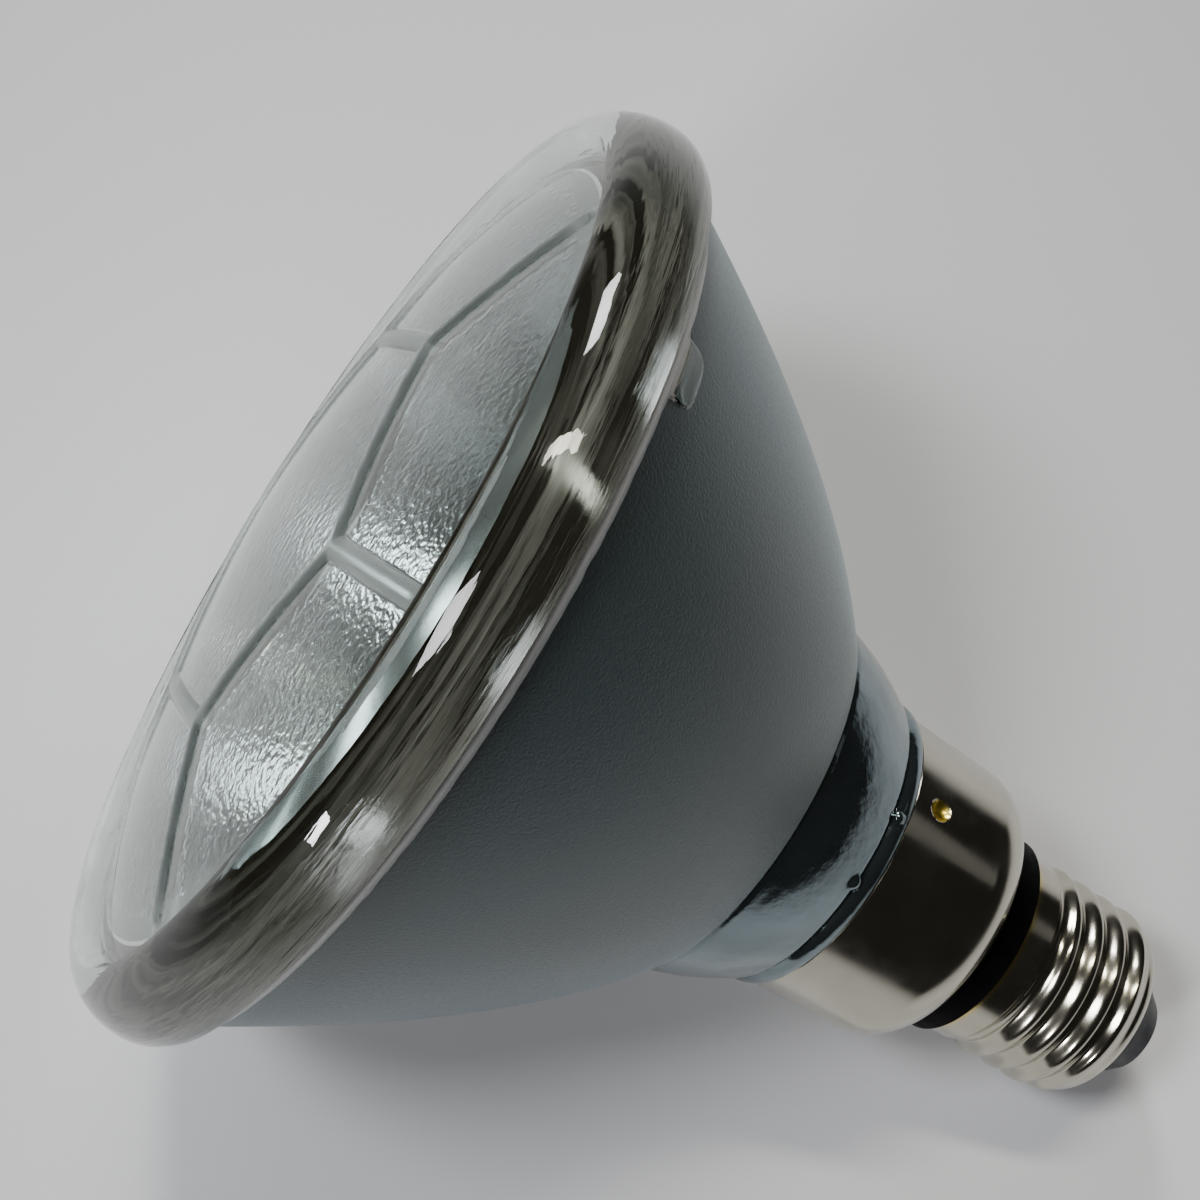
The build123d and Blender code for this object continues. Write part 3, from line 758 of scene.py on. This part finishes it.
# Each run of glass: its turn in degrees, its radius and its rise above the bead
neck_runs = ((-5.0, 1.2, 0.9), (22.0, 0.8, -0.6))
bowl_span = (bowl_edge_radius**2 - neck_radius**2) / (lip_level - neck_top)
well_span = (mouth_radius**2 - well_radius**2) / (lip_level - well_top)
print("bowl: from", round(stub_end, 2), "to", round(lip_level, 2), "mm")


def bowl_radius(level):
    return np.sqrt(neck_radius**2 + bowl_span * (level - neck_top))


# %% Rows of the neck
bowl_angles = even_angles(360)


def with_runs(radius, level):
    """The radius of a row of the neck with the runs of glass lifted out of it."""
    lifted = np.full(len(bowl_angles), radius)
    for turn, size, rise in neck_runs:
        off_turn = np.angle(np.exp(1j * (bowl_angles - math.radians(turn)))) * bead_foot
        off_level = level - (neck_bead_top + rise)
        ball = bead_foot + np.sqrt(np.maximum(size**2 - off_turn**2 - off_level**2, 0))
        lifted = np.maximum(lifted, np.where(off_turn**2 + off_level**2 < size**2, ball, 0))
    return lifted, level


neck_steps = 34
groove_radius = neck_radius - neck_groove_depth
groove_middle = (groove_radius, neck_top - neck_groove_width / 2)
groove_end = (groove_radius, neck_top - neck_groove_width)
groove = line_rows((neck_radius, neck_top), groove_middle, 5)[1:] + line_rows(groove_middle, groove_end, 3)
neck = line_rows(groove_end, (neck_end_radius, neck_end), neck_steps)
neck_waves = [neck_swell * math.sin(math.pi * k / neck_steps) for k in range(neck_steps)]
neck = [(radius + wave, level) for (radius, level), wave in zip(neck, neck_waves)]
neck += line_rows((neck_end_radius, neck_end), (bead_foot, neck_bead_top), 4)
bead_levels = np.linspace(neck_bead_top, neck_bead_bottom, 11)
bead_bow = np.sin(np.linspace(0, np.pi, 11)) * neck_bead_step / 2
neck += [(bead_foot + bow, level) for bow, level in zip(bead_bow, bead_levels)]
print("neck:", len(neck), "rows")

# %% Turn the bowl
rows = [(bowl_radius(level), level) for level in np.linspace(lip_level, neck_top, 61)]
bowl_strips = len(rows)
rows += groove
rows += [with_runs(radius, level) for radius, level in neck]
rows += [(stub_radius, neck_bead_bottom), (stub_radius, stub_end), (stub_bore_radius, stub_end)]
rows += [(stub_bore_radius, floor_back), (0.0, floor_back), (0.0, well_floor)]
neck_strips = len(rows) - bowl_strips
mirror_levels = np.linspace(well_top, lip_level, 50)
rows += [(well_radius, well_floor)]
rows += [(math.sqrt(well_radius**2 + well_span * (level - well_top)), level) for level in mirror_levels]
mirror_strips = len(rows) - bowl_strips - neck_strips
strips = [0] * (bowl_strips - 1) + [1] * neck_strips + [2] * mirror_strips + [0]
bowl = turned_piece("reflector_bowl", rows, bowl_angles, [bowl_glass, neck_glass, mirror_coat], strips)
close_skin(bowl, 32.0)
lay_down(bowl, "reflector_glass", "reflector")

# %% [markdown]
# ## Seal
# The adhesive that holds the lens is a whitish bead, a little ragged, that thins out over one stretch. One
# drop of it ran down the bowl before it set. Two meshes would cut into each other where the drop leaves the
# bead, so bead and drop are one skin: the lower edge of the skin is a line that dips where the drop is, and
# the thickness swells towards the end of the drop.

# %% The lines of the seal
bead_level = seam_level - 2.1
bead_radius = seal_reach[1]
bead_swell = 0.5
bead_curve = 0.75
bead_inset = 0.15
bead_raggedness = 0.04
bead_unevenness = 0.06
drip_turn = 36.5
drip_width = 8.4
drip_length = 3.4
drip_thickness = 0.7
drip_top = 0.75
drip_growth = 0.5
drip_overlap = 0.4
drip_nose = 0.65
drip_clear_from = 0.1
thin_start = (49.0, 56.0)
thin_end = (100.0, 93.0)
thin_rise = 0.7
seal_top = seam_level - 0.03
seal_angles = even_angles(1440)
seal_turns = np.degrees(seal_angles)
wander = np.random.default_rng(7)


def ragged(count, lowest, highest):
    """A closed wavy line of a few sines, within about one."""
    line = np.zeros(len(seal_angles))
    for _ in range(count):
        line += np.sin(seal_angles * wander.integers(lowest, highest) + wander.uniform(0, 2 * np.pi))
    return line / math.sqrt(count)


def step_between(value, start, end):
    """A smooth step from nothing at the start to one at the end."""
    share = np.clip((value - start) / (end - start), 0, 1)
    return share * share * (3 - 2 * share)


off_drip = np.abs(seal_turns - drip_turn) / math.degrees(drip_width / 2 / bowl_radius(bead_level))
drip_share = np.sqrt(np.maximum(1 - off_drip**4, 0))
thin = step_between(seal_turns, *thin_start) * step_between(seal_turns, *thin_end)
edge_line = bead_level + bead_raggedness * ragged(9, 20, 110) + thin_rise * thin
low_line = edge_line - drip_length * drip_share
fullness = 1 + bead_unevenness * ragged(9, 12, 70)
print("seal: edge from", round(low_line.min(), 2), "to", round(edge_line.max(), 2), "mm")

# %% Shape the seal
steps = 24
top_out = bead_radius - bead_inset - bowl_radius(seam_level)
rows = []
for k in range(steps + 1):
    share = k / steps
    level = seal_top + (low_line - seal_top) * share
    above = np.clip((level - edge_line) / (seam_level - edge_line), 0, 1)
    bead_out = top_out * above**bead_curve + bead_swell * np.sin(np.pi * above) * fullness
    down = np.clip((edge_line - level) / drip_length, -drip_overlap, 1)
    into_nose = np.maximum(down - (1 - drip_nose), 0) / drip_nose
    round_nose = np.sqrt(np.maximum(1 - into_nose**2, 0))
    belly = drip_top + drip_growth * np.maximum(down, 0)
    drip_out = drip_thickness * drip_share * round_nose * belly
    outwards = np.maximum(bead_out, np.where(drip_share > 0, drip_out, 0))
    rows.append((bowl_radius(level) + outwards * (1 - (share == 1)), level))
for share in np.linspace(0, 1, 8)[1:]:
    level = low_line + (lip_level - low_line) * share
    rows.append((bowl_radius(level), level))
rows += [(bond_inner_radius, lip_level), (bond_inner_radius, seal_top)]
seal = turned_piece("rim_seal_bead", rows, seal_angles, [adhesive, clear_drip])
levels = np.array([np.broadcast_to(level, len(seal_angles)) for radius, level in rows])
strip_tops = np.maximum(levels, np.roll(levels, -1, axis=0))
in_drip = (strip_tops < edge_line - drip_clear_from) & (drip_share > 0)
seal.data.polygons.foreach_set("material_index", in_drip.astype(np.int32).ravel())
close_skin(seal, 60.0)
lay_down(seal, "adhesive", "rim_seal")

# %% [markdown]
# ## Skirt
# The skirt is drawn from thin brass sheet and nickel plated. Three punched stakes lock it to the glass, and
# in them the plate has cracked, so the bare brass shows. A boolean with a ball would leave ragged faces in a
# thin sheet. So rows and columns are fine enough there to be pushed in by the depth of the ball below the
# sheet, and the same depth is the note of bare brass.

# %% Sizes of the skirt
shoulder_start = skirt_top - 13.6
skirt_taper = 0.5
shoulder_edge = skirt_radius - skirt_taper
shoulder_radius = 6.5
shoulder_turn = 60.0
hole_radius = skirt_reach[0]
stake_count = 3
stake_turn = 35.0
stake_level = skirt_top - 3.9
stake_ball_radius = 1.7
stake_depth = 0.9
bare_gain = 3
edge_break = (0.12, 0.15)
skirt_angles = even_angles(480)
print("skirt: radius", round(skirt_radius, 2), "mm, hole", round(hole_radius, 2), "mm")


def stake_dent(radius, level):
    """How far the stakes push a row in."""
    dent = np.zeros(len(skirt_angles))
    for k in range(stake_count):
        turn = math.radians(stake_turn + k * 360 / stake_count)
        off_turn = np.angle(np.exp(1j * (skirt_angles - turn))) * radius
        off = np.sqrt(off_turn**2 + (level - stake_level) ** 2)
        ball = np.sqrt(np.maximum(stake_ball_radius**2 - off**2, 0)) - (stake_ball_radius - stake_depth)
        dent = np.maximum(dent, np.maximum(ball, 0))
    return dent


def dented(profile):
    return [(radius - stake_dent(radius, level), level) for radius, level in profile]


# %% Draw the skirt
tube_levels = np.linspace(skirt_top - edge_break[1], shoulder_start, 56)
tube_radii = np.linspace(skirt_radius, shoulder_edge, len(tube_levels))
outer_tube = [(skirt_radius - edge_break[0], skirt_top)] + list(zip(tube_radii, tube_levels))
inner_tube = list(zip(tube_radii[::-1] - skirt_wall, tube_levels[::-1]))
inner_tube += [(skirt_radius - skirt_wall, skirt_top)]
shoulder_centre = (shoulder_edge - shoulder_radius, shoulder_start)
outer_arc = arc_rows(shoulder_centre, shoulder_radius, shoulder_radius, 0, -shoulder_turn, 20)[1:]
inner_arc_radius = shoulder_radius - skirt_wall
inner_arc = arc_rows(shoulder_centre, inner_arc_radius, inner_arc_radius, -shoulder_turn, 0, 20)[:-1]
slope = 1 / math.tan(math.radians(shoulder_turn))
outer_hole = (hole_radius, outer_arc[-1][1] - (outer_arc[-1][0] - hole_radius) * slope)
inner_hole = (hole_radius, inner_arc[0][1] - (inner_arc[0][0] - hole_radius) * slope)
rows = dented(outer_tube) + outer_arc + [outer_hole, inner_hole] + inner_arc + dented(inner_tube)
skirt = turned_piece("skirt_sheet", rows, skirt_angles, [nickel])
dents = np.zeros((len(rows), len(skirt_angles)))
for k, (radius, level) in enumerate(outer_tube):
    dents[k] = np.clip(stake_dent(radius, level) / stake_depth * bare_gain, 0, 1)
bare_brass = skirt.data.attributes.new("bare_brass", "FLOAT", "POINT")
bare_brass.data.foreach_set("value", dents.astype(np.float32).ravel())
close_skin(skirt)
lay_down(skirt, "nickel_plate", "skirt")

# %% [markdown]
# ## Screw shell
# The shell is a thin tube with the round Edison thread rolled into it, so inside and outside move together. A
# swept profile would give only the outside. Here a plain tube is made first, and a tree does the rolling: the
# phase of the thread at a point is its level over the pitch, less its turn round the axis, and the sheet
# moves out by a smooth wave of that phase. The wave fades in and out at the ends of the thread.

# %% Make the plain tube
shell_reach = reach("screw_shell")
shell_top = shell_reach[3]
shell_end = shell_reach[2]
crest_radius = shell_reach[1]
root_radius = 12.1
shell_wall = 0.5
collar_radius = 12.95
collar_bottom = shell_top - 3.9
root_top = collar_bottom - 0.9
collar_break = (0.1, 0.12)
end_rounding = 2.0
inner_rounding = end_rounding - shell_wall
lip_radius = root_radius - 2.5
bare_edge_width = 1.2
shell_angles = even_angles(240)
end_centre = (root_radius - end_rounding, shell_end + end_rounding)
root_levels = np.linspace(root_top, shell_end + end_rounding, 90)
rows = [(collar_radius - collar_break[0], shell_top)]
rows += line_rows((collar_radius, shell_top - collar_break[1]), (collar_radius, collar_bottom), 8)
rows += line_rows((collar_radius, collar_bottom), (root_radius, root_top), 6)
rows += [(root_radius, level) for level in root_levels]
rows += arc_rows(end_centre, end_rounding, end_rounding, 0, -90, 12)[1:]
rows += [(lip_radius, shell_end), (lip_radius, shell_end + shell_wall)]
rows += arc_rows(end_centre, inner_rounding, inner_rounding, -90, 0, 12)
rows += [(root_radius - shell_wall, level) for level in root_levels[::-1][1:]]
rows += [(collar_radius - shell_wall, collar_bottom), (collar_radius - shell_wall, shell_top)]
shell = turned_piece("screw_shell_sheet", rows, shell_angles, [nickel])
bare_edge = np.array([max(0.0, 1 - (shell_top - level) / bare_edge_width) for radius, level in rows])
bare_brass = shell.data.attributes.new("bare_brass", "FLOAT", "POINT")
bare_brass.data.foreach_set("value", np.repeat(bare_edge, len(shell_angles)).astype(np.float32))
print("tube:", len(rows), "rows of", len(shell_angles))

# %% Roll the thread
thread_pitch = 3.629
thread_start = 9.9
crest_roundness = 0.8
thread_sizes = {
    "Pitch": thread_pitch,
    "Depth": crest_radius - root_radius,
    "First Level": thread_start - thread_pitch / 2,
    "Last Level": root_top + 0.6,
    "Fade": 2.4,
    "Phase": thread_start / thread_pitch,
}
rule, given, result = new_rule("roll_thread", thread_sizes)
x, y, z = split_place(rule, rule.nodes.new("GeometryNodeInputPosition").outputs[0])
turns = math_node(rule, "DIVIDE", math_node(rule, "ARCTAN2", y, x), 2 * math.pi)
climb = math_node(rule, "SUBTRACT", math_node(rule, "DIVIDE", z, given["Pitch"]), given["Phase"])
phase = math_node(rule, "MULTIPLY", math_node(rule, "SUBTRACT", climb, turns), 2 * math.pi)
wave = math_node(rule, "MULTIPLY_ADD", math_node(rule, "COSINE", phase), 0.5, 0.5)
round_wave = math_node(rule, "POWER", wave, crest_roundness)
fade_in = math_node(rule, "DIVIDE", math_node(rule, "SUBTRACT", z, given["First Level"]), given["Fade"])
fade_out = math_node(rule, "DIVIDE", math_node(rule, "SUBTRACT", given["Last Level"], z), given["Fade"])
fade = rule.nodes.new("ShaderNodeClamp")
rule.links.new(math_node(rule, "MINIMUM", fade_in, fade_out), fade.inputs["Value"])
faded_wave = math_node(rule, "MULTIPLY", round_wave, fade.outputs[0])
depth = math_node(rule, "MULTIPLY", faded_wave, given["Depth"])
from_axis = rule.nodes.new("ShaderNodeCombineXYZ")
set_inputs(rule, from_axis, X=x, Y=y)
geometry = push_out(rule, given["Geometry"], from_axis.outputs[0], depth)
end_rule(rule, geometry, result, nickel)
apply_rule(shell, rule, thread_sizes)
close_skin(shell)
lay_down(shell, "nickel_plate", "screw_shell")

# %% [markdown]
# ## Filament
# The glowing part is a coil of tungsten wire. It is a plain rod among the solids. A spiral curve with a round
# profile makes the coil, with its turns and radii as inputs of a small tree, because a curve stays evenly
# round where a bent rod would pinch.

# %% Wind the filament
filament_reach = reach("filament")
wire_radius = 0.13
points_per_turn = 24
wire_sides = 8
coil_sizes = {
    "Turns": 16.0,
    "Coil Radius": filament_reach[1] - wire_radius,
    "Coil Length": filament_reach[3] - filament_reach[2],
    "Wire Radius": wire_radius,
    "Start Level": filament_reach[2],
}
rule, given, result = new_rule("wind_coil", coil_sizes)
spiral = rule.nodes.new("GeometryNodeCurveSpiral")
set_inputs(rule, spiral, Resolution=points_per_turn, Rotations=given["Turns"], Height=given["Coil Length"])
set_inputs(rule, spiral, Start_Radius=given["Coil Radius"], End_Radius=given["Coil Radius"])
profile = rule.nodes.new("GeometryNodeCurvePrimitiveCircle")
set_inputs(rule, profile, Resolution=wire_sides, Radius=given["Wire Radius"])
skin = rule.nodes.new("GeometryNodeCurveToMesh")
set_inputs(rule, skin, Curve=spiral.outputs["Curve"], Profile_Curve=profile.outputs["Curve"], Fill_Caps=True)
raise_coil = rule.nodes.new("ShaderNodeCombineXYZ")
rule.links.new(given["Start Level"], raise_coil.inputs["Z"])
move = rule.nodes.new("GeometryNodeTransform")
set_inputs(rule, move, Geometry=skin.outputs["Mesh"], Translation=raise_coil.outputs[0])
end_rule(rule, move.outputs["Geometry"], result, wire)
filament = bpy.data.objects.new("filament_coil", bpy.data.meshes.new("filament_coil"))
bpy.context.scene.collection.objects.link(filament)
apply_rule(filament, rule, coil_sizes)
close_skin(filament)
lay_down(filament, "tungsten", "filament")

# %% [markdown]
# ## The pieces whose solids are already right
# The small turned pieces of the cap, the capsule and the wiring need no new shape. They could be built again
# like the others, but nothing would look different, so they only get a finish in their slot.

# %% Give the other nodes their finish
node_finishes = {
    "neck_cement": cement,
    "insulating_ring": black_ring,
    "base_insulator": dark_glass,
    "centre_contact": brass,
    "contact_solder": solder,
    "shell_solder": solder,
    "capsule": quartz,
}
for stem in ("filament_tail", "foil", "capsule_pin", "support_wire", "ferrule"):
    for side in "ab":
        node_finishes[stem + "_" + side] = wire
for name in ("contact_lead", "shell_lead"):
    node_finishes[name] = wire
for name, finish in node_finishes.items():
    mesh = frame["nodes"][name].data
    mesh.materials.clear()
    mesh.materials.append(finish)
print(len(node_finishes), "nodes keep their solids")

# %% [markdown]
# ## Table and light
# The table is a plain pale sheet. Metal and glass show what is around them: the pale table below, a dark room
# above and a few soft lamps. An even bright room would wash out the dark glass. So the room is kept dark, and
# each lamp hangs where its reflection falls on a highlight of the photograph: on the rim, on the skirt, or in
# the mirror behind the stippled lens.

# %% Lay the table
table_half = 2.5
table_mesh = bpy.data.meshes.new("table_top")
corners = [(x * table_half, y * table_half, 0) for x, y in ((-1, -1), (1, -1), (1, 1), (-1, 1))]
table_mesh.from_pydata(corners, [], [(0, 1, 2, 3)])
table = bpy.data.objects.new("table_top", table_mesh)
bpy.context.scene.collection.objects.link(table)
table_finish = bpy.data.materials.new("pale_table")
table_finish.use_nodes = True
tree = table_finish.node_tree
set_inputs(tree, tree.nodes["Principled BSDF"], Base_Color=(0.77, 0.78, 0.82, 1), Roughness=0.75)
table_mesh.materials.append(table_finish)
print("table of", 2 * table_half, "m")

# %% Hang the lamps
middle = (cad_box[0] + cad_box[1]) / 2
lamp_spread = math.radians(50)


def soft_lamp(name, direction, distance, width, height, watts, colour=(1, 1, 1)):
    """A rectangular area lamp in a direction from the middle of the object, turned to face it."""
    data = bpy.data.lights.new(name, "AREA")
    data.shape = "RECTANGLE"
    data.size = width
    data.size_y = height
    data.energy = watts
    data.spread = lamp_spread
    data.color = colour
    lamp_object = bpy.data.objects.new(name, data)
    outwards = Vector(direction).normalized()
    lamp_object.location = middle + outwards * distance
    lamp_object.rotation_euler = (-outwards).to_track_quat("-Z", "Y").to_euler()
    bpy.context.scene.collection.objects.link(lamp_object)
    print(name, "gives", watts, "W")


soft_lamp("ceiling_tube", (-0.10, 0.42, 0.90), 1.0, 0.45, 0.08, 0.32, (1, 0.96, 0.80))
soft_lamp("front_lamp", (-0.43, -0.20, 0.925), 1.0, 0.26, 0.26, 0.40)
soft_lamp("back_lamp", (-0.45, 0.77, 0.52), 1.0, 0.17, 0.30, 0.38)
soft_lamp("near_lamp", (-0.28, -0.80, 0.46), 1.0, 0.16, 0.12, 0.28)
soft_lamp("right_wall", (0.74, 0.50, 0.45), 1.2, 0.36, 0.24, 0.003)
room = bpy.data.worlds.new("dark_room")
room.use_nodes = True
room.node_tree.nodes["Background"].inputs["Color"].default_value = (0.022, 0.021, 0.020, 1)
bpy.context.scene.world = room
